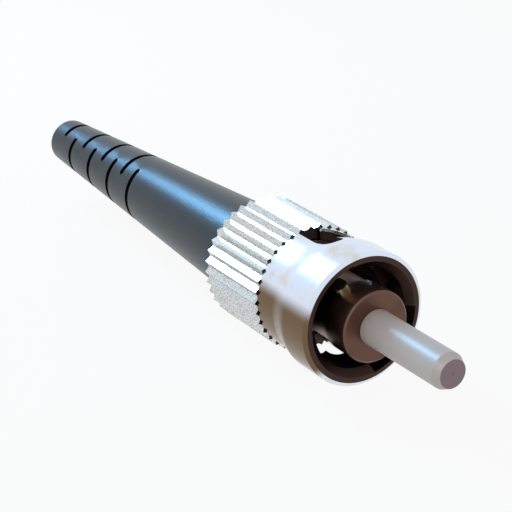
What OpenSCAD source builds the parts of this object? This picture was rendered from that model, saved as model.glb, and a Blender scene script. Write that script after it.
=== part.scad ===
// ST bayonet fibre connector, millimetres.
// The origin is the centre of the holder's flat front face, where the ferrule
// comes out. +X runs along the ferrule to its tip and +Z is up.
// Angles around the axis are measured from +Y towards +Z.

/* [Ferrule] */
// Ferrule diameter
ferrule_d = 2.5; // [2.4:0.05:2.6]
// Length of ferrule in front of the holder
ferrule_out = 8.1; // [6:0.1:9]
// Length of ferrule pressed into the holder
ferrule_in = 4.6; // [4:0.1:5.2]
// Diameter of the stepped seat behind the ferrule's shoulder, inside the holder
seat_d = 2.1; // [2.06:0.02:2.16]
// Length of the chamfer at the tip
tip_chamfer = 0.6; // [0.3:0.05:0.9]
// Depth of the chamfer at the tip
tip_step = 0.22; // [0.1:0.02:0.35]
// Radius between the chamfer and the end face
tip_round = 0.12; // [0.05:0.01:0.15]
// Bore for the bare fibre
fibre_bore = 0.126; // [0.12:0.002:0.14]
// Mouth of the lead-in cone at the back of the ferrule
lead_in_d = 1; // [0.8:0.05:1.1]

/* [Holder] */
// Diameter of the holder's head
holder_d = 5; // [4.6:0.1:5.2]
// Length of the head
holder_head = 2.1; // [2:0.1:2.8]
// Depth of the step behind the head
holder_step = 0.2; // [0.1:0.05:0.3]
// Distance from the holder's face to the body's flange
holder_len = 7.7; // [7.4:0.05:7.9]
// Diameter of the tail pressed into the body
tail_d = 3.4; // [3.3:0.05:3.6]
// Length of the tail
tail_len = 3; // [2.4:0.1:3.4]
// Edge break on the head
holder_edge = 0.12; // [0.05:0.01:0.2]

/* [Alignment key] */
// Angle of the key around the axis
key_angle = 122; // [110:1:135]
// Width of the key across the axis
key_w = 0.9; // [0.7:0.05:1]
// Length of the key along the axis
key_len = 1.4; // [1.1:0.05:1.6]
// Distance from the holder's face to the front of the key
key_back = 1.2; // [1:0.05:1.3]
// Radius that the key reaches
key_reach = 3.2; // [3:0.05:3.3]
// Depth of the key in the holder, from the head's surface
key_seat = 0.8; // [0.5:0.05:0.9]

/* [Body] */
// Diameter of the flange that carries the spring
flange_d = 6.7; // [6.5:0.05:6.8]
// Thickness of the flange
flange_t = 0.7; // [0.5:0.05:0.8]
// Diameter of the shank under the spring
shank_d = 4.4; // [4.2:0.05:4.5]
// Diameter of the shoulder that carries the boot
shoulder_d = 5.5; // [5.3:0.05:5.6]
// Length of the shoulder
shoulder_len = 1.35; // [1.1:0.05:1.6]
// Diameter of the crimp barrel
barrel_d = 3.8; // [3.7:0.05:3.9]
// Length of the crimp barrel
barrel_len = 6.4; // [5.6:0.1:6.8]
// Number of gripping rings on the barrel
barrel_rings = 7; // [4:1:8]
// Depth of the grooves between the rings
ring_cut = 0.14; // [0.08:0.01:0.18]
// Bore for the guide tube
liner_bore = 1.9; // [1.8:0.05:2]

/* [Spring] */
// Wire diameter
wire_d = 0.42; // [0.36:0.02:0.46]
// Number of turns
spring_turns = 4; // [3:1:4]
// Spring length at rest
spring_len = 3.5; // [3.3:0.05:3.7]
// Mean diameter of the coil
coil_d = 5.6; // [5.5:0.05:5.7]

/* [Washer and ring] */
// Thickness of the spring washer
washer_t = 0.25; // [0.2:0.05:0.3]
// Outside diameter of the washer
washer_d = 6.6; // [6.3:0.05:6.8]
// Thickness of the retaining ring
clip_t = 0.35; // [0.3:0.05:0.45]
// Outside diameter of the retaining ring
clip_d = 6; // [5.7:0.05:6.2]
// Depth of the ring's groove in the shank
clip_groove = 0.25; // [0.2:0.05:0.35]
// Opening of the ring in degrees
clip_gap = 50; // [40:5:70]

/* [Coupling nut] */
// Distance from the nut's front face back to the holder's face
nut_back = 1.3; // [1.1:0.05:1.5]
// Diameter of the front collar
collar_d = 9.38; // [9.3:0.02:9.5]
// Length of the collar with its bevel
collar_len = 2.6; // [2.4:0.05:2.8]
// Length of the flare behind the collar
flare_len = 1.7; // [1.5:0.05:1.9]
// Diameter of the smooth neck
neck_d = 8.65; // [8.6:0.01:8.75]
// Distance from the front face to the knurl
knurl_start = 6.2; // [6.1:0.05:6.6]
// Length of the knurl
knurl_len = 6.47; // [6.2:0.01:6.8]
// Diameter over the knurl's crests
knurl_d = 9.06; // [9:0.02:9.2]
// Depth of the V teeth
knurl_depth = 0.32; // [0.25:0.01:0.35]
// Number of teeth
knurl_teeth = 36; // [30:2:40]
// Angle of the first crest
knurl_phase = 1.5; // [0:0.5:9.5]
// Outer bevel of the rim
rim_bevel = 0.3; // [0.2:0.02:0.34]
// Length of the outer bevel
rim_bevel_len = 0.2; // [0.15:0.01:0.3]
// Mouth diameter at the front face
mouth_d = 8.1; // [8:0.02:8.16]
// Length of the lead-in at the mouth
mouth_len = 0.5; // [0.4:0.05:0.7]
// Bore of the nut
nut_bore = 7.1; // [7.05:0.01:7.2]
// Thickness of the inner wall that the washer rests on
wall_t = 0.7; // [0.6:0.05:0.8]
// Diameter of the recess that takes the boot
rear_bore = 7.5; // [7.4:0.05:7.6]

/* [Bayonet] */
// Angle of the middle of the window
window_angle = 94.5; // [90:0.5:98]
// Width of the window across the axis
window_w = 1.52; // [1.4:0.02:1.7]
// Distance from the nut's front face to the window's front edge
window_front = 2.75; // [2.7:0.05:2.9]
// Corner radius of the window
window_round = 0.6; // [0.4:0.05:0.7]
// Width of the ramp slot
ramp_w = 1.9; // [1.8:0.05:2]
// Distance from the knurl to the ramp's middle at the window
ramp_out = 1.2; // [1.05:0.05:1.3]
// Slope of the ramp in degrees
ramp_slope = 29; // [26:0.5:31]
// Angle around the axis where the open slot ends
slot_end = 52; // [48:1:60]
// Width of the entry groove in degrees
entry_span = 78; // [60:1:80]
// Angle of the middle of the entry groove
entry_angle = 142; // [136:1:144]
// Length of the entry groove from the front face
entry_len = 3.2; // [3:0.05:3.4]
// Diameter at the floor of the grooves
groove_d = 8.2; // [8.1:0.02:8.24]

/* [Crimp sleeve] */
// Wall of the crimp sleeve
sleeve_wall = 0.35; // [0.25:0.05:0.4]
// Length of the sleeve over the barrel
sleeve_len = 6.6; // [6.5:0.1:7.2]
// Length of the narrow rear end
sleeve_tail = 3.4; // [2.6:0.1:3.6]
// Length of the shoulder between the two
sleeve_neck = 0.6; // [0.4:0.05:0.8]

/* [Boot] */
// Outside diameter at the boot's front end
boot_front_d = 6.96; // [6.9:0.02:7.04]
// Outside diameter at the boot's rear end
boot_rear_d = 3.52; // [3.5:0.02:3.6]
// Length of the boot
boot_len = 30.5; // [30:0.1:31]
// Diameter of the cable
cable_d = 3; // [2.8:0.05:3]
// Rounding of the boot's end
boot_round = 0.22; // [0.12:0.01:0.24]
// Distance from the boot's rear end to the last slot
slot_back = 2.1; // [1.9:0.05:2.3]
// Distance from one slot to the next
slot_pitch = 1.8; // [1.7:0.05:1.9]
// Number of slots
slot_count = 8; // [6:2:8]
// Width of a slot
slot_w = 0.48; // [0.4:0.02:0.54]
// Angle in which the first set of slots faces
slot_angle = 45; // [0:5:90]
// Overlap of opposite slots at the thin end in degrees
overlap_rear = 5; // [3:1:7]
// Overlap of opposite slots at the thick end in degrees
overlap_front = 13; // [9:1:15]

/* [Fits] */
// Gap between the nut's wall and the shank, on the radius
slide_gap = 0.06; // [0.04:0.01:0.08]
// Gap between the washer and the shank, on the radius
washer_gap = 0.1; // [0.06:0.01:0.12]
// Gap between the boot's front end and the retaining ring
boot_gap = 0.15; // [0.1:0.05:0.25]
// Gap between the guide tube and its bore, on the radius
liner_gap = 0.02; // [0.01:0.01:0.04]
// Gap between the cable and what it passes through, on the radius
cable_gap = 0.02; // [0:0.01:0.04]

/* [Hidden] */
fine = 96;
eps = 0.01;
ferrule_r = ferrule_d / 2;
seat_r = seat_d / 2;
tail_r = tail_d / 2;
shank_r = shank_d / 2;
barrel_r = barrel_d / 2;
holder_r = holder_d / 2;
holder_waist = holder_r - holder_step;
cable_r = cable_d / 2 + cable_gap;
// stations along the axis, from the holder's face backwards
flange_x = -holder_len;
spring_x = flange_x - flange_t;
washer_x = spring_x - spring_len;
wall_x = washer_x - washer_t;
clip_x = wall_x - wall_t;
clip_end = clip_x - clip_t;
boot_x = clip_end - boot_gap;
shoulder_x = boot_x;
barrel_x = shoulder_x - shoulder_len;
barrel_end = barrel_x - barrel_len;
sleeve_x = barrel_x;
sleeve_step = sleeve_x - sleeve_len;
sleeve_end = sleeve_step - sleeve_neck - sleeve_tail;
boot_end = boot_x - boot_len;
tail_x = flange_x - tail_len;
// the nut
front_x = -nut_back;
collar_x = front_x - collar_len;
neck_x = collar_x - flare_len;
knurl_x = front_x - knurl_start;
nut_end = knurl_x - knurl_len;
knurl_r = knurl_d / 2;
bore_r = nut_bore / 2;
groove_r = groove_d / 2;
// the bayonet
// length of one degree around the neck
degree = 3.14159265 * neck_d / 360;
window_x = front_x - window_front;
ramp_angle = window_angle - window_w / 2 / degree;
ramp_x = knurl_x + ramp_out;
// the sleeve
sleeve_r = barrel_r + sleeve_wall;
sleeve_thin = cable_r + sleeve_wall;

// Turns the upright Z axis of what follows onto X; angles then run from +Y to +Z.
module along_x() { rotate([90, 0, 90]) children(); }

// A round bar from station b to station a, b < a, with radius rb at b and ra at a.
module bar(b, a, rb, ra) {
  along_x() translate([0, 0, b]) cylinder(h = a - b, r1 = rb, r2 = ra, $fn = fine);
}

// A rod of one radius.
module rod(b, a, r) { bar(b, a, r, r); }

// A turned piece from a profile of [radius, station] points.
module turned(profile, angle = 360) {
  along_x() rotate_extrude(angle = angle, $fn = fine) polygon(profile);
}

// Stands a tool on the radius at one station and angle: Z out, X forwards.
module radial(x, angle) { translate([x, 0, 0]) rotate([angle - 90, 0, 0]) children(); }

module ferrule() {
  color([0.93, 0.92, 0.92])
  difference() {
    turned(concat(
      [[0, -ferrule_in], [seat_r - 0.15, -ferrule_in], [seat_r, -ferrule_in + 0.15],
       [seat_r, 0], [ferrule_r, 0], [ferrule_r, ferrule_out - tip_chamfer]],
      [for (k = [0 : 5]) let (t = k * 14)
        [ferrule_r - tip_step + tip_round * (cos(t) - 1),
         ferrule_out - tip_round + tip_round * sin(t)]],
      [[ferrule_r - tip_step - tip_round, ferrule_out], [0, ferrule_out]]));
    rod(-ferrule_in - 1, ferrule_out + 1, fibre_bore / 2);
    bar(-ferrule_in - eps, -ferrule_in + lead_in_d, lead_in_d / 2, fibre_bore / 2);
  }
}

module ferrule_holder() {
  color([0.62, 0.56, 0.53])
  difference() {
    turned([[liner_bore / 2, tail_x], [tail_r - 0.1, tail_x], [tail_r, tail_x + 0.15],
      [tail_r, flange_x], [holder_waist, flange_x], [holder_waist, -holder_head],
      [holder_r, -holder_head], [holder_r, -holder_edge], [holder_r - holder_edge, 0],
      [seat_r, 0], [seat_r, -ferrule_in], [liner_bore / 2, -ferrule_in]]);
    key_blank();
  }
}

// The key's outline, which is also the seat cut for it.
module key_blank() {
  bottom = holder_r - key_seat;
  radial(-key_back - key_len / 2, key_angle) translate([0, 0, bottom]) {
    translate([-(key_len - key_w) / 2, -key_w / 2, 0])
      cube([key_len - key_w, key_w, key_reach - bottom]);
    for (s = [-1, 1]) translate([s * (key_len - key_w) / 2, 0, 0])
      cylinder(h = key_reach - bottom, d = key_w, $fn = 32);
  }
}

module alignment_key() { color([0.78, 0.7, 0.56]) key_blank(); }

module connector_body() {
  pitch = barrel_len / barrel_rings;
  color([0.3, 0.26, 0.25])
  difference() {
    turned(concat(
      [[tail_r, flange_x], [flange_d / 2, flange_x], [flange_d / 2, spring_x],
       [shank_r, spring_x], [shank_r, clip_x], [shank_r - clip_groove, clip_x],
       [shank_r - clip_groove, clip_end], [shank_r, clip_end], [shank_r, shoulder_x],
       [shoulder_d / 2, shoulder_x], [shoulder_d / 2, barrel_x]],
      [for (k = [0 : barrel_rings - 1]) let (x = barrel_x - k * pitch)
        each [[barrel_r, x], [barrel_r, x - pitch * 0.55],
              [barrel_r - ring_cut, x - pitch * 0.7], [barrel_r - ring_cut, x - pitch * 0.9]]],
      [[barrel_r - ring_cut, barrel_end], [liner_bore / 2, barrel_end],
       [liner_bore / 2, tail_x], [tail_r, tail_x]]));
  }
}

module guide_tube() {
  r = liner_bore / 2 - liner_gap;
  color([0.9, 0.9, 0.86])
  turned([[lead_in_d / 2, barrel_end - 0.6], [r + 0.1, barrel_end - 0.6], [r + 0.1, barrel_end],
    [r, barrel_end], [r, -ferrule_in], [lead_in_d / 2, -ferrule_in]]);
}

// The spring's closed outline: one rounded rib for each turn of wire.
module spring() {
  pitch = spring_len / spring_turns;
  core = 0.1;
  color([0.72, 0.73, 0.74])
  turned(concat(
    [for (k = [0 : spring_turns - 1]) let (c = washer_x + (k + 0.5) * pitch)
      each [for (t = [-80 : 40 : 80])
        [coil_d / 2 + core / 2 + (wire_d / 2 - core / 2) * cos(t), c + pitch * 0.5 * sin(t) / sin(80)]]],
    [for (k = [spring_turns - 1 : -1 : 0]) let (c = washer_x + (k + 0.5) * pitch)
      each [for (t = [80 : -40 : -80])
        [coil_d / 2 - core / 2 - (wire_d / 2 - core / 2) * cos(t), c + pitch * 0.5 * sin(t) / sin(80)]]]));
}

module spring_washer() {
  color([0.75, 0.75, 0.76])
  difference() {
    rod(wall_x, washer_x, washer_d / 2);
    rod(wall_x - 1, washer_x + 1, shank_r + washer_gap);
  }
}

module retaining_ring() {
  color([0.5, 0.5, 0.52])
  along_x() rotate([0, 0, clip_gap / 2 - 90]) rotate_extrude(angle = 360 - clip_gap, $fn = fine)
    translate([shank_r - clip_groove, clip_end])
      square([clip_d / 2 - shank_r + clip_groove, clip_t]);
}

// The V teeth, as one straight prism.
module knurl() {
  along_x() translate([0, 0, nut_end]) rotate([0, 0, knurl_phase])
    linear_extrude(height = knurl_len)
      polygon([for (k = [0 : knurl_teeth - 1], s = [0, 1])
        let (a = (k + s / 2) * 360 / knurl_teeth)
        (knurl_r - s * knurl_depth) * [cos(a), sin(a)]]);
}

// The nut's smooth outside: neck, flare, collar and bevelled rim.
module nut_front() {
  neck_r = neck_d / 2;
  collar_r = collar_d / 2;
  steps = 8;
  turned(concat(
    [[0, knurl_x - eps], [neck_r, knurl_x - eps]],
    [for (k = [0 : steps]) let (t = k / steps)
      [neck_r + (collar_r - neck_r) * (0.55 * t + 0.45 * (1 - cos(180 * t)) / 2),
       neck_x + flare_len * t]],
    [[collar_r, front_x - rim_bevel_len], [collar_r - rim_bevel, front_x], [0, front_x]]));
}

// A round-ended bar tool, lying on the local XY plane and reaching outwards.
module slot_tool(len, w, low, high) {
  translate([0, -w / 2, low]) cube([len, w, high - low]);
  for (x = [0, len]) translate([x, 0, low]) cylinder(h = high - low, d = w, $fn = 48);
}

// Window and ramp slot, open through the wall.
module window_tool() {
  high = collar_d / 2 + 1;
  low = bore_r - 1;
  span = (ramp_angle - slot_end) * degree;
  // window, with its two front corners rounded
  radial(0, window_angle) {
    translate([knurl_x, -window_w / 2, low])
      cube([window_x - window_round - knurl_x, window_w, high - low]);
    translate([knurl_x, -window_w / 2 + window_round, low])
      cube([window_x - knurl_x, window_w - 2 * window_round, high - low]);
    for (s = [-1, 1]) translate([window_x - window_round, s * (window_w / 2 - window_round), low])
      cylinder(h = high - low, r = window_round, $fn = 48);
  }
  // open part of the ramp, in two straight runs that follow the wall
  for (k = [0, 1]) {
    a = ramp_angle - k * (ramp_angle - slot_end) / 2;
    radial(ramp_x + k * span / 2 * tan(ramp_slope), a - (ramp_angle - slot_end) / 4)
      translate([0, -span / 4, 0]) rotate([0, 0, 90 - ramp_slope])
        slot_tool(span / 2 / cos(ramp_slope), ramp_w, low, high);
  }
}

// Blind channel from the open slot to the next entry groove.
module channel_tool() {
  high = collar_d / 2 + 1;
  low = bore_r - 1;
  from = ramp_angle;
  to = entry_angle - 180 + entry_span / 2;
  runs = 4;
  step = (from - to) / runs;
  intersection() {
    rod(knurl_x, front_x + 1, groove_r);
    for (k = [0 : runs - 1])
      radial(ramp_x + k * step * degree * tan(ramp_slope), from - (k + 0.5) * step)
        translate([0, -step * degree / 2, 0]) rotate([0, 0, 90 - ramp_slope])
          slot_tool(step * degree / cos(ramp_slope), ramp_w, low, high);
  }
}

// Entry groove for the socket's lug, behind the closed rim.
module entry_tool() {
  along_x() rotate([0, 0, entry_angle - entry_span / 2])
    rotate_extrude(angle = entry_span, $fn = fine)
      translate([bore_r - 0.5, front_x - entry_len]) square([groove_r - bore_r + 0.5, entry_len + 1]);
}

module coupling_nut() {
  color([0.86, 0.87, 0.9])
  difference() {
    union() { knurl(); nut_front(); }
    rod(wall_x, front_x + 1, bore_r);
    bar(front_x - mouth_len, front_x + eps, bore_r, mouth_d / 2);
    rod(nut_end - 1, front_x, shank_r + slide_gap);
    rod(nut_end - 1, clip_x, rear_bore / 2);
    for (half = [0, 180]) rotate([half, 0, 0]) {
      window_tool();
      channel_tool();
      entry_tool();
    }
  }
}

module crimp_sleeve() {
  color([0.7, 0.69, 0.66])
  turned([[barrel_r, sleeve_x], [sleeve_r, sleeve_x], [sleeve_r, sleeve_step],
    [sleeve_thin, sleeve_step - sleeve_neck], [sleeve_thin, sleeve_end],
    [cable_r, sleeve_end], [cable_r, sleeve_step - sleeve_neck], [barrel_r, sleeve_step]]);
}

// One slot, cut straight in from one side past the middle, with a round bottom.
module boot_slot(x, facing, depth) {
  reach = boot_front_d;
  radial(x, facing) {
    translate([-slot_w / 2, -reach, slot_w / 2 - depth]) cube([slot_w, 2 * reach, reach]);
    translate([0, reach, slot_w / 2 - depth]) rotate([90, 0, 0])
      cylinder(h = 2 * reach, d = slot_w, $fn = 32);
  }
}

module boot() {
  slope = (boot_front_d - boot_rear_d) / 2 / boot_len;
  rear_r = boot_rear_d / 2;
  color([0.1, 0.11, 0.13])
  difference() {
    turned(concat(
      [[cable_r, boot_end]],
      [for (k = [0 : 4]) let (t = -90 + k * 22.5)
        [rear_r - boot_round * (1 - cos(t)), boot_end + boot_round * (1 + sin(t))]],
      [[boot_front_d / 2, boot_x], [shoulder_d / 2, boot_x], [shoulder_d / 2, barrel_x],
       [sleeve_r, barrel_x], [sleeve_r, sleeve_step],
       [sleeve_thin, sleeve_step - sleeve_neck], [sleeve_thin, sleeve_end], [cable_r, sleeve_end]]));
    for (k = [0 : slot_count - 1])
      let (back = slot_back + k * slot_pitch,
           overlap = overlap_rear + (overlap_front - overlap_rear) * k / (slot_count - 1))
        boot_slot(boot_end + back, slot_angle + 180 * (k % 2), (rear_r + slope * back) * sin(overlap));
  }
}

ferrule();
ferrule_holder();
alignment_key();
connector_body();
guide_tube();
spring();
spring_washer();
retaining_ring();
coupling_nut();
crimp_sleeve();
boot();
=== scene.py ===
import logging
import math
from dataclasses import dataclass, field
from enum import Enum
from typing import Any

import bpy
from mathutils import Matrix, Vector


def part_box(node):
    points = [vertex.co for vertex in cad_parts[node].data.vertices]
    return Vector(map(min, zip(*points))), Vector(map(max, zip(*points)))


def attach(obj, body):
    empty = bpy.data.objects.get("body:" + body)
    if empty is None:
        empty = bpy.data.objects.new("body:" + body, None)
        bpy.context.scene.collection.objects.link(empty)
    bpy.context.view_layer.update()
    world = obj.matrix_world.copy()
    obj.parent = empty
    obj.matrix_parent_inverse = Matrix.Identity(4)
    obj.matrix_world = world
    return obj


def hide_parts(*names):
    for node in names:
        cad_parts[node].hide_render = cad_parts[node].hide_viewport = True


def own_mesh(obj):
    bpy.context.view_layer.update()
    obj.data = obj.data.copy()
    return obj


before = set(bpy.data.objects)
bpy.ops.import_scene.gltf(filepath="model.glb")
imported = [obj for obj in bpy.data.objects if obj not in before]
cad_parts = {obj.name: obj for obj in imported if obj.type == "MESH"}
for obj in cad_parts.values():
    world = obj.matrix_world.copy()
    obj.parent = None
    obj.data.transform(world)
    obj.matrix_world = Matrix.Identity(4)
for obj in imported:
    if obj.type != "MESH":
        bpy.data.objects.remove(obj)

LOG = logging.getLogger("connector")
MM = 0.001
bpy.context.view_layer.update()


# ---------------------------------------------------------------- small tools

def linear(code: str) -> tuple[float, float, float, float]:
    """Turns an sRGB hex colour to linear.

    Args:
        code: colour such as "#C8CCD2".

    Returns:
        Red, green, blue and alpha, linear.
    """
    parts = [int(code[i:i + 2], 16) / 255 for i in (1, 3, 5)]
    rgb = [p / 12.92 if p <= 0.04045 else ((p + 0.055) / 1.055) ** 2.4 for p in parts]
    return rgb[0], rgb[1], rgb[2], 1.0


def add_node(tree: bpy.types.NodeTree, kind: str, inputs: dict[Any, Any] | None = None,
             **settings: Any) -> bpy.types.Node:
    """Adds one node with its settings, constants and links.

    Args:
        tree: the node tree.
        kind: the node's type name.
        inputs: socket name or index to a constant, or to an output socket to link.
        settings: the node's own properties.

    Returns:
        The new node.
    """
    node = tree.nodes.new(kind)
    for name, value in settings.items():
        setattr(node, name, value)
    for key, value in (inputs or {}).items():
        if isinstance(value, bpy.types.NodeSocket):
            tree.links.new(value, node.inputs[key])
        else:
            node.inputs[key].default_value = value
    return node


def new_material(name: str) -> tuple[bpy.types.Material, bpy.types.NodeTree, bpy.types.Node]:
    """Makes an empty material.

    Args:
        name: the material's name.

    Returns:
        The material, its tree and its output node.
    """
    material = bpy.data.materials.new(name)
    material.use_nodes = True
    tree = material.node_tree
    tree.nodes.clear()
    return material, tree, add_node(tree, "ShaderNodeOutputMaterial")


def deselect_all() -> None:
    """Leaves object mode with nothing selected."""
    if bpy.context.mode != "OBJECT":
        bpy.ops.object.mode_set(mode="OBJECT")
    bpy.ops.object.select_all(action="DESELECT")


def make_active(piece: bpy.types.Object) -> None:
    """Selects one object only and makes it the active one."""
    deselect_all()
    piece.select_set(True)
    bpy.context.view_layer.objects.active = piece


def apply_all(piece: bpy.types.Object) -> None:
    """Applies every modifier of a piece, in order."""
    make_active(piece)
    for modifier in list(piece.modifiers):
        bpy.ops.object.modifier_apply(modifier=modifier.name)


def settle(piece: bpy.types.Object, name: str, angle: float = 35.0) -> bpy.types.Object:
    """Puts a piece's place into its mesh, names it and smooths it.

    Args:
        piece: the modelled object.
        name: its name.
        angle: edges sharper than this many degrees stay sharp.

    Returns:
        The same object, at the origin.
    """
    make_active(piece)
    bpy.ops.object.transform_apply(location=True, rotation=True, scale=True)
    bpy.ops.object.mode_set(mode="EDIT")
    bpy.ops.mesh.select_all(action="SELECT")
    bpy.ops.mesh.remove_doubles(threshold=1e-7)
    bpy.ops.mesh.normals_make_consistent(inside=False)
    bpy.ops.object.mode_set(mode="OBJECT")
    bpy.ops.object.shade_smooth_by_angle(angle=math.radians(angle))
    piece.name = name
    piece.data.name = name
    return piece


def dress(piece: bpy.types.Object, material: bpy.types.Material) -> None:
    """Gives a piece one material in every slot."""
    if not piece.material_slots:
        piece.data.materials.append(material)
    for place in piece.material_slots:
        place.material = material


# ------------------------------------------------------------------- finishes

def axis_places(tree: bpy.types.NodeTree) -> tuple[bpy.types.NodeSocket, bpy.types.NodeSocket,
                                                   bpy.types.NodeSocket]:
    """Adds the coordinates that turned parts share.

    Args:
        tree: the material's tree.

    Returns:
        Object coordinates, the station along the axis and the distance from the axis, in metres.
    """
    place = add_node(tree, "ShaderNodeTexCoord").outputs["Object"]
    station = add_node(tree, "ShaderNodeSeparateXYZ", {0: place}).outputs["X"]
    across = add_node(tree, "ShaderNodeVectorMath", {0: place, 1: (0, 1, 1)}, operation="MULTIPLY")
    radius = add_node(tree, "ShaderNodeVectorMath", {0: across.outputs[0]}, operation="LENGTH")
    return place, station, radius.outputs["Value"]


def band(tree: bpy.types.NodeTree, value: bpy.types.NodeSocket, low: float, high: float
         ) -> bpy.types.NodeSocket:
    """Adds a smooth step of a value.

    Args:
        tree: the material's tree.
        value: the value that is stepped.
        low: where the result is 0.
        high: where the result is 1; below low, the step falls.

    Returns:
        The step, from 0 to 1.
    """
    node = add_node(tree, "ShaderNodeMapRange",
                    {"Value": value, "From Min": min(low, high), "From Max": max(low, high),
                     "To Min": 0.0 if low < high else 1.0, "To Max": 1.0 if low < high else 0.0},
                    interpolation_type="SMOOTHSTEP")
    return node.outputs["Result"]


def mix_colour(tree: bpy.types.NodeTree, share: Any, first: Any, second: Any
               ) -> bpy.types.NodeSocket:
    """Adds a colour mix and returns its result."""
    node = add_node(tree, "ShaderNodeMix", data_type="RGBA")
    for index, value in ((0, share), (6, first), (7, second)):
        if isinstance(value, bpy.types.NodeSocket):
            tree.links.new(value, node.inputs[index])
        else:
            node.inputs[index].default_value = value
    return node.outputs[2]


def grain(tree: bpy.types.NodeTree, place: bpy.types.NodeSocket, size_mm: float,
          detail: float = 2.0) -> bpy.types.NodeSocket:
    """Adds noise whose blotches are about one size across.

    Args:
        tree: the material's tree.
        place: Object coordinates, in metres.
        size_mm: size of one blotch.
        detail: octaves of finer noise.

    Returns:
        The noise, about 0.5 on average.
    """
    node = add_node(tree, "ShaderNodeTexNoise",
                    {"Vector": place, "Scale": 1 / (size_mm * MM), "Detail": detail,
                     "Roughness": 0.55})
    return node.outputs["Fac"]


@dataclass(frozen=True)
class NickelPlate:
    """Bright nickel plate on turned brass: mirror-like, with faint lathe rings."""

    name: str
    bright: str = "#DEE7F4"
    warm: str = "#D6D3C6"
    roughness: float = 0.2
    blotch_mm: float = 1.6
    ring_mm: float = 0.09
    ring_depth_mm: float = 0.0006

    def colour(self, tree: bpy.types.NodeTree, place: bpy.types.NodeSocket,
               station: bpy.types.NodeSocket, radius: bpy.types.NodeSocket
               ) -> bpy.types.NodeSocket:
        """Adds the plate's colour: bright, with faint warm blotches."""
        return mix_colour(tree, band(tree, grain(tree, place, self.blotch_mm), 0.45, 0.8),
                          linear(self.bright), linear(self.warm))

    def rough(self, tree: bpy.types.NodeTree, place: bpy.types.NodeSocket,
              station: bpy.types.NodeSocket, radius: bpy.types.NodeSocket
              ) -> bpy.types.NodeSocket:
        """Adds the roughness, which changes a little from place to place."""
        return add_node(tree, "ShaderNodeMapRange",
                        {"Value": grain(tree, place, self.blotch_mm * 0.6),
                         "To Min": self.roughness * 0.7, "To Max": self.roughness * 1.3}
                        ).outputs["Result"]

    def build(self) -> bpy.types.Material:
        """Makes the material."""
        material, tree, output = new_material(self.name)
        place, station, radius = axis_places(tree)
        rings = add_node(tree, "ShaderNodeTexWave",
                         {"Vector": place, "Scale": 1 / (self.ring_mm * MM) / 20,
                          "Distortion": 1.2, "Detail": 2.0, "Detail Scale": 3.0},
                         wave_type="BANDS", bands_direction="X")
        bump = add_node(tree, "ShaderNodeBump",
                        {"Strength": 0.25, "Distance": self.ring_depth_mm * MM,
                         "Height": rings.outputs["Fac"]})
        shader = add_node(tree, "ShaderNodeBsdfPrincipled",
                          {"Base Color": self.colour(tree, place, station, radius),
                           "Metallic": 1.0, "Roughness": self.rough(tree, place, station, radius),
                           "Normal": bump.outputs["Normal"]})
        tree.links.new(shader.outputs[0], output.inputs["Surface"])
        return material


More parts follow.
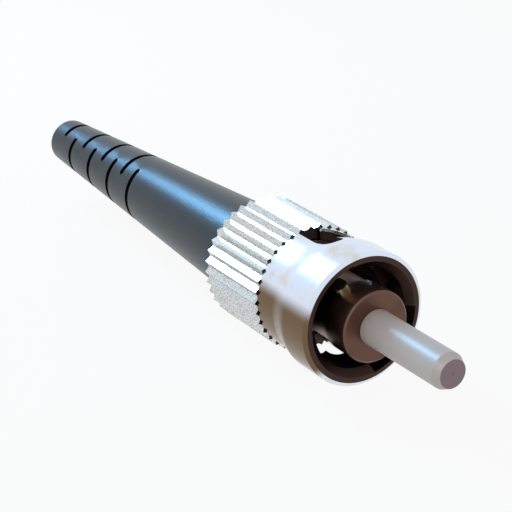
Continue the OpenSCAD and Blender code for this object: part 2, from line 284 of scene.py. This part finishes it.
@dataclass(frozen=True)
class NutPlate(NickelPlate):
    """Nickel plate of the nut: bright outside, with brown painted shade and reflection, and more
    roughness, on the bore, front face and knurl end faces, and a warm painted reflection along one
    side of the smooth front.
    """

    # painted shade and reflection: brown for the bore, grooves, front face and knurl end faces
    inside: str = "#45352F"
    inside_rough: float = 0.4
    bore_mm: float = 4.12
    face_mm: float = 4.40
    face_at_mm: float = -1.3
    knurl_at_mm: float = -7.5
    # random speckle on the knurl; its khaki tone is a painted warm reflection
    khaki_reflection_speckle: str = "#B3AB8E"
    speckle_mm: float = 0.07
    # painted reflection: a warm brown band along one side of the smooth front, fixed to the nut
    side_reflection_brown: str = "#705B45"
    side_reflection_deg: float = 192.0
    side_reflection_from: float = 0.80
    side_reflection_full: float = 0.93

    def shaded_parts_mask(self, tree: bpy.types.NodeTree, station: bpy.types.NodeSocket,
               radius: bpy.types.NodeSocket) -> bpy.types.NodeSocket:
        """Adds the mask of the painted shade and reflection: bore, grooves, front face and the
        knurl's end faces.
        """
        bore = band(tree, radius, (self.bore_mm + 0.05) * MM, (self.bore_mm + 0.01) * MM)
        face = add_node(tree, "ShaderNodeMath",
                        {0: band(tree, radius, (self.face_mm + 0.02) * MM, self.face_mm * MM),
                         1: band(tree, station, (self.face_at_mm - 0.04) * MM,
                                 (self.face_at_mm - 0.02) * MM)}, operation="MULTIPLY")
        ends = add_node(tree, "ShaderNodeMath",
                        {0: station, 1: self.knurl_at_mm * MM, 2: 0.012 * MM},
                        operation="COMPARE")
        both = add_node(tree, "ShaderNodeMath", {0: bore, 1: face.outputs[0]}, operation="MAXIMUM")
        return add_node(tree, "ShaderNodeMath", {0: both.outputs[0], 1: ends.outputs[0]},
                        operation="MAXIMUM").outputs[0]

    def knurled(self, tree: bpy.types.NodeTree, station: bpy.types.NodeSocket
                ) -> bpy.types.NodeSocket:
        """Adds the mask of the knurled stretch."""
        return band(tree, station, (self.knurl_at_mm + 0.02) * MM, (self.knurl_at_mm - 0.02) * MM)

    def reflected_side_mask(self, tree: bpy.types.NodeTree, place: bpy.types.NodeSocket,
                radius: bpy.types.NodeSocket) -> bpy.types.NodeSocket:
        """Adds the mask of the painted reflection: warm brown along one side of the smooth front.
        """
        turn = math.radians(self.side_reflection_deg)
        aim = (0.0, math.cos(turn), math.sin(turn))
        along = add_node(tree, "ShaderNodeVectorMath", {0: place, 1: aim},
                         operation="DOT_PRODUCT").outputs["Value"]
        share = add_node(tree, "ShaderNodeMath", {0: along, 1: radius}, operation="DIVIDE")
        return band(tree, share.outputs[0], self.side_reflection_from, self.side_reflection_full)

    def colour(self, tree: bpy.types.NodeTree, place: bpy.types.NodeSocket,
               station: bpy.types.NodeSocket, radius: bpy.types.NodeSocket
               ) -> bpy.types.NodeSocket:
        """Adds the colours of the smooth front with its painted side reflection, the knurl, and
        the brown painted shade and reflection of the bore, front face and knurl end faces.
        """
        # painted reflection: warm brown mixed in along one side of the smooth front
        smooth = mix_colour(tree, self.reflected_side_mask(tree, place, radius),
                            NickelPlate.colour(self, tree, place, station, radius),
                            linear(self.side_reflection_brown))
        # random speckle on the knurl, in a khaki tone that is a painted warm reflection
        torn = mix_colour(tree, band(tree, grain(tree, place, self.speckle_mm, 1.0), 0.4, 0.62),
                          linear(self.bright), linear(self.khaki_reflection_speckle))
        outside = mix_colour(tree, self.knurled(tree, station), smooth, torn)
        # painted shade and reflection: brown over the bore, grooves, front face and knurl end
        # faces
        return mix_colour(tree, self.shaded_parts_mask(tree, station, radius), outside, linear(self.inside))

    def rough(self, tree: bpy.types.NodeTree, place: bpy.types.NodeSocket,
              station: bpy.types.NodeSocket, radius: bpy.types.NodeSocket
              ) -> bpy.types.NodeSocket:
        """Adds the roughness: more on the knurl, where the tool tore it, and most on the bore,
        front face and knurl end faces.
        """
        plain = NickelPlate.rough(self, tree, place, station, radius)
        torn = add_node(tree, "ShaderNodeMapRange",
                        {"Value": grain(tree, place, self.speckle_mm, 1.0),
                         "From Min": 0.35, "From Max": 0.65, "To Min": 0.16, "To Max": 0.30})
        outside = add_node(tree, "ShaderNodeMix", {0: self.knurled(tree, station), 2: plain,
                                                   3: torn.outputs["Result"]}).outputs[0]
        return add_node(tree, "ShaderNodeMix",
                        {0: self.shaded_parts_mask(tree, station, radius), 2: outside,
                         3: self.inside_rough}).outputs[0]


@dataclass(frozen=True)
class Zirconia:
    """Polished zirconia ceramic: milky white with a hard gloss, and a darker mauve end face, which
    is painted shade.
    """

    name: str = "white_zirconia"
    body: str = "#C0B5AE"
    cloud: str = "#B5AAA3"
    # painted shade: the darker colour of the ferrule's end face
    end: str = "#724B58"
    cloud_mm: float = 0.8
    grain_mm: float = 0.12
    tip_mm: float = 8.1
    end_mm: float = 1.0
    roughness: float = 0.4

    def build(self) -> bpy.types.Material:
        """Makes the material."""
        material, tree, output = new_material(self.name)
        place, station, radius = axis_places(tree)
        # painted shade: the end face gets the darker colour
        end = add_node(tree, "ShaderNodeMath",
                       {0: band(tree, station, (self.tip_mm - 0.03) * MM,
                                (self.tip_mm - 0.01) * MM),
                        1: band(tree, radius, (self.end_mm + 0.02) * MM, self.end_mm * MM)},
                       operation="MULTIPLY")
        cloudy = mix_colour(tree, grain(tree, place, self.cloud_mm),
                            linear(self.body), linear(self.cloud))
        colour = mix_colour(tree, end.outputs[0], cloudy, linear(self.end))
        bump = add_node(tree, "ShaderNodeBump",
                        {"Strength": 0.15, "Distance": 0.001 * MM,
                         "Height": grain(tree, place, self.grain_mm)})
        shader = add_node(tree, "ShaderNodeBsdfPrincipled",
                          {"Base Color": colour, "Roughness": self.roughness, "IOR": 2.1,
                           "Subsurface Weight": 0.15, "Subsurface Radius": (1.0, 0.9, 0.85),
                           "Subsurface Scale": 0.4 * MM, "Normal": bump.outputs["Normal"]})
        tree.links.new(shader.outputs[0], output.inputs["Surface"])
        return material


@dataclass(frozen=True)
class MouldedRubber:
    """Moulded thermoplastic rubber: near black, fine spark-eroded grain, cool gloss."""

    name: str = "black_boot_rubber"
    deep: str = "#0E0C0A"
    worn: str = "#171411"
    gloss: tuple[float, float, float, float] = (0.55, 0.80, 1.0, 1.0)
    roughness: float = 0.33
    wear_mm: float = 2.2
    grain_mm: float = 0.11
    grain_depth_mm: float = 0.022

    def build(self) -> bpy.types.Material:
        """Makes the material."""
        material, tree, output = new_material(self.name)
        place, _, _ = axis_places(tree)
        fine = grain(tree, place, self.grain_mm, 1.5)
        colour = mix_colour(tree, band(tree, grain(tree, place, self.wear_mm), 0.35, 0.75),
                            linear(self.deep), linear(self.worn))
        bump = add_node(tree, "ShaderNodeBump",
                        {"Strength": 0.55, "Distance": self.grain_depth_mm * MM, "Height": fine})
        rough = add_node(tree, "ShaderNodeMapRange",
                         {"Value": fine, "To Min": self.roughness * 0.75,
                          "To Max": self.roughness * 1.25})
        shader = add_node(tree, "ShaderNodeBsdfPrincipled",
                          {"Base Color": colour, "Roughness": rough.outputs["Result"],
                           "Specular IOR Level": 0.6, "Specular Tint": self.gloss,
                           "Normal": bump.outputs["Normal"]})
        tree.links.new(shader.outputs[0], output.inputs["Surface"])
        return material


@dataclass(frozen=True)
class PlainPolymer:
    """Natural fluoropolymer tube: waxy, half clear, faintly yellow."""

    name: str = "natural_liner_tube"
    body: str = "#E6E3D6"
    cloud: str = "#D9D5C6"
    cloud_mm: float = 1.0
    roughness: float = 0.38

    def build(self) -> bpy.types.Material:
        """Makes the material."""
        material, tree, output = new_material(self.name)
        place, _, _ = axis_places(tree)
        colour = mix_colour(tree, grain(tree, place, self.cloud_mm),
                            linear(self.body), linear(self.cloud))
        shader = add_node(tree, "ShaderNodeBsdfPrincipled",
                          {"Base Color": colour, "Roughness": self.roughness, "IOR": 1.36,
                           "Subsurface Weight": 0.3, "Subsurface Scale": 0.3 * MM})
        tree.links.new(shader.outputs[0], output.inputs["Surface"])
        return material


# --------------------------------------------------------------------- pieces

@dataclass
class SpringPack:
    """The coil spring, made as one wire, with the washer and the ring behind it."""

    coil_r: float = 2.8 * MM
    wire_r: float = 0.21 * MM
    turns: float = 4.0
    travel: float = 1.6 * MM
    wire_sides: int = 12
    steps_per_turn: int = 40
    steel: NickelPlate = field(default_factory=lambda: NickelPlate(
        "drawn_spring_steel", "#B9BABD", "#A8A49C", 0.24))

    def coil(self) -> bpy.types.Object:
        """Models the wire between the node's two ends.

        Returns:
            The coil.
        """
        low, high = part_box("spring")
        run = high.x - low.x - 2 * self.wire_r
        deselect_all()
        bpy.ops.mesh.primitive_circle_add(vertices=self.wire_sides, radius=self.wire_r,
                                          location=(0, 0, self.coil_r),
                                          rotation=(math.pi / 2, 0, 0))
        wire = bpy.context.active_object
        bpy.ops.object.transform_apply(location=True, rotation=True, scale=True)
        winding = wire.modifiers.new("winding", "SCREW")
        winding.axis = "X"
        winding.angle = math.tau * self.turns
        winding.screw_offset = run
        winding.steps = winding.render_steps = int(self.steps_per_turn * self.turns)
        apply_all(wire)
        bpy.ops.object.mode_set(mode="EDIT")
        bpy.ops.mesh.select_all(action="SELECT")
        bpy.ops.mesh.remove_doubles(threshold=1e-8)
        bpy.ops.mesh.select_all(action="DESELECT")
        bpy.ops.mesh.select_non_manifold()
        bpy.ops.mesh.fill()
        bpy.ops.object.mode_set(mode="OBJECT")
        wire.location.x = low.x + self.wire_r
        settle(wire, "coil_spring", 40)
        return wire

    def build(self) -> list[str]:
        """Builds and dresses the pack."""
        material = self.steel.build()
        coil = self.coil()
        dress(coil, material)
        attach(coil, "root")
        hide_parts("spring")
        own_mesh(coil)
        for node in ("spring_washer", "retaining_ring"):
            dress(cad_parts[node], material)
        return ["coil_spring", "spring_washer", "retaining_ring"]


@dataclass
class Front:
    """Ferrule, holder and key: what goes into the socket."""

    ceramic: Zirconia = field(default_factory=Zirconia)
    # the holder's dark brown colours are painted reflection and shade on a nickel part
    holder: NickelPlate = field(default_factory=lambda: NickelPlate(
        "holder_nickel", "#6A4F44", "#5E463C", 0.38))
    key: NickelPlate = field(default_factory=lambda: NickelPlate(
        "key_nickel", "#A8967A", "#97866C", 0.3))

    def build(self) -> list[str]:
        """Dresses the three nodes."""
        dress(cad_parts["ferrule"], self.ceramic.build())
        dress(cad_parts["ferrule_holder"], self.holder.build())
        dress(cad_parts["alignment_key"], self.key.build())
        return ["ferrule", "ferrule_holder", "alignment_key"]


@dataclass
class Nut:
    """The knurled bayonet nut."""

    plate: NutPlate = field(default_factory=lambda: NutPlate("nut_nickel"))

    def build(self) -> list[str]:
        """Dresses the nut."""
        dress(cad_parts["coupling_nut"], self.plate.build())
        return ["coupling_nut"]


@dataclass
class Backbone:
    """Body, liner and crimp sleeve, mostly hidden."""

    plate: NickelPlate = field(default_factory=lambda: NickelPlate(
        "body_nickel", "#8C8078", "#786C64", 0.25))
    soft_plate: NickelPlate = field(default_factory=lambda: NickelPlate(
        "sleeve_nickel", "#B5B0A6", "#A39C90", 0.3))
    tube: PlainPolymer = field(default_factory=PlainPolymer)

    def build(self) -> list[str]:
        """Dresses the three nodes."""
        dress(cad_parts["connector_body"], self.plate.build())
        dress(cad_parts["crimp_sleeve"], self.soft_plate.build())
        dress(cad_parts["guide_tube"], self.tube.build())
        return ["connector_body", "crimp_sleeve", "guide_tube"]


@dataclass
class Boot:
    """The slotted strain relief."""

    rubber: MouldedRubber = field(default_factory=MouldedRubber)

    def build(self) -> list[str]:
        """Dresses the boot."""
        dress(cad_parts["boot"], self.rubber.build())
        return ["boot"]


# ---------------------------------------------------------------------- studio

class Lamp(Enum):
    """The lamps, by their job: place in mm, diameter in mm, power in W and colour."""

    KEY = ((-118.0, -24.0, 78.0), 46.0, 0.15, "#8AC6F2")
    FILL = ((60.0, -150.0, 120.0), 120.0, 0.06, "#FFFFFF")


@dataclass
class Studio:
    """Floor, lamps, world and camera."""

    floor_z: float = -4.69 * MM
    eye: tuple[float, float, float] = (87.85 * MM, -63.78 * MM, 49.59 * MM)
    ahead: tuple[float, float, float] = (-0.78490, 0.48860, -0.38105)
    lens_mm: float = 130.1
    sky: str = "#F8FAFF"
    sky_light: float = 0.5
    floor_size: float = 3.0
    floor_tone: str = "#E2DCD5"
    floor_white: float = 0.92
    aim: tuple[float, float, float] = (-14 * MM, 0.0, 0.0)

    def camera(self) -> None:
        """Places the camera: level horizon, no shift."""
        ahead = Vector(self.ahead).normalized()
        right = ahead.cross(Vector((0, 0, 1))).normalized()
        up = right.cross(ahead)
        turn = Matrix((right, up, -ahead)).transposed().to_4x4()
        deselect_all()
        bpy.ops.object.camera_add(location=self.eye)
        camera = bpy.context.active_object
        camera.matrix_world = Matrix.Translation(self.eye) @ turn
        camera.data.lens = self.lens_mm
        camera.data.sensor_width = 36.0
        camera.data.clip_start = 0.001
        camera.data.clip_end = 10.0
        bpy.context.scene.camera = camera

    def seen(self, tree: bpy.types.NodeTree) -> bpy.types.NodeSocket:
        """Adds a switch that is 1 for the rays that show the backdrop.

        Args:
            tree: the floor's or the world's tree.

        Returns:
            1 for camera, glossy and transmission rays, and 0 for diffuse ones.
        """
        path = add_node(tree, "ShaderNodeLightPath")
        polished = add_node(tree, "ShaderNodeMath",
                            {0: path.outputs["Is Glossy Ray"],
                             1: path.outputs["Is Transmission Ray"]}, operation="MAXIMUM")
        return add_node(tree, "ShaderNodeMath",
                        {0: path.outputs["Is Camera Ray"], 1: polished.outputs[0]},
                        operation="MAXIMUM").outputs[0]

    def floor(self) -> None:
        """Lays the pale floor: white to the eye, with the object's soft shadow kept."""
        deselect_all()
        bpy.ops.mesh.primitive_plane_add(size=self.floor_size, location=(0, 0, self.floor_z))
        sheet = bpy.context.active_object
        sheet.name = "floor"
        material, tree, output = new_material("pale_floor")
        matt = add_node(tree, "ShaderNodeBsdfDiffuse", {"Color": linear(self.floor_tone)})
        white = add_node(tree, "ShaderNodeEmission", {"Color": (1, 1, 1, 1), "Strength": 1.0})
        share = add_node(tree, "ShaderNodeMath", {0: self.seen(tree), 1: self.floor_white},
                         operation="MULTIPLY")
        both = add_node(tree, "ShaderNodeMixShader",
                        {0: share.outputs[0], 1: matt.outputs[0], 2: white.outputs[0]})
        tree.links.new(both.outputs[0], output.inputs["Surface"])
        dress(sheet, material)

    def lamps(self) -> None:
        """Hangs the soft lamps, each aimed at the nut."""
        aim = Vector(self.aim)
        for job in Lamp:
            place, size, power, colour = job.value
            deselect_all()
            at = Vector(place) * MM
            bpy.ops.object.light_add(type="AREA", location=at)
            lamp = bpy.context.active_object
            lamp.name = f"lamp_{job.name.lower()}"
            lamp.rotation_euler = (aim - at).to_track_quat("-Z", "Y").to_euler()
            lamp.data.shape = "DISK"
            lamp.data.size = size * MM
            lamp.data.energy = power
            lamp.data.color = linear(colour)[:3]

    def world(self) -> None:
        """Sets the sky: near white all over, softer as light than to the eye."""
        world = bpy.data.worlds.new("studio")
        bpy.context.scene.world = world
        world.use_nodes = True
        tree = world.node_tree
        tree.nodes.clear()
        strength = add_node(tree, "ShaderNodeMapRange",
                            {"Value": self.seen(tree), "To Min": self.sky_light, "To Max": 1.0})
        glow = add_node(tree, "ShaderNodeBackground",
                        {"Color": linear(self.sky), "Strength": strength.outputs["Result"]})
        output = add_node(tree, "ShaderNodeOutputWorld")
        tree.links.new(glow.outputs[0], output.inputs["Surface"])

    def build(self) -> None:
        """Sets up the whole studio."""
        self.camera()
        self.floor()
        self.lamps()
        self.world()
        bpy.context.scene.view_settings.view_transform = "Standard"


def main() -> None:
    """Builds the connector's sub-assemblies in order and reports each piece."""
    logging.basicConfig(level=logging.INFO, format="%(name)s: %(message)s")
    Studio().build()
    for assembly in (Front(), Nut(), Backbone(), SpringPack(), Boot()):
        for piece in assembly.build():
            LOG.info("%s built %s", type(assembly).__name__, piece)


if __name__ == "__main__":
    main()
